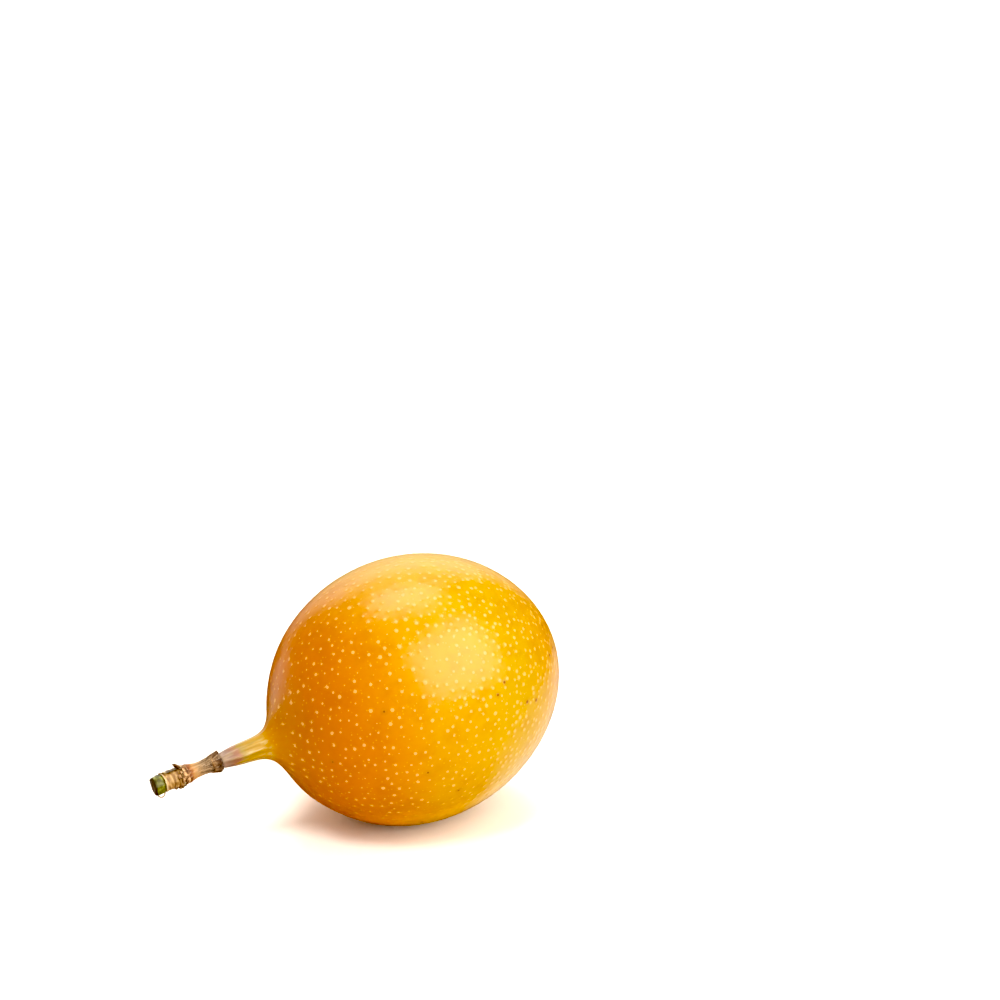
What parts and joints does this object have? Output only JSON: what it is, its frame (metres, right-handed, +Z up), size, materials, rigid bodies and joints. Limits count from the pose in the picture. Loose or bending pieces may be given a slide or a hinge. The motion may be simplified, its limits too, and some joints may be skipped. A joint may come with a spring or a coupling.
{
  "type": "passion fruit",
  "caption": "Whole sweet granadilla passion fruit lying on its side: plump oval berry narrowing to a fluted neck, with a dry barky stalk and a cut green tip.",
  "frame": {"origin": "centre of the small flat spot under the berry that it rests on", "axes": "+Z up; -X towards the stalk, which drops 8.4 degrees below the horizontal; +X towards the blossom end"},
  "size_m": [0.1104, 0.0647, 0.0667],
  "materials": {
    "rind": "waxy glossy fruit rind with pale lenticels",
    "bark": "dry fibrous peeling bark",
    "green_stem": "satin green stem with a brown cut face"
  },
  "bodies": {
    "root": {"fruit": "rind", "stalk": "bark", "stalk_tip": "green_stem"}
  },
  "joints": []
}
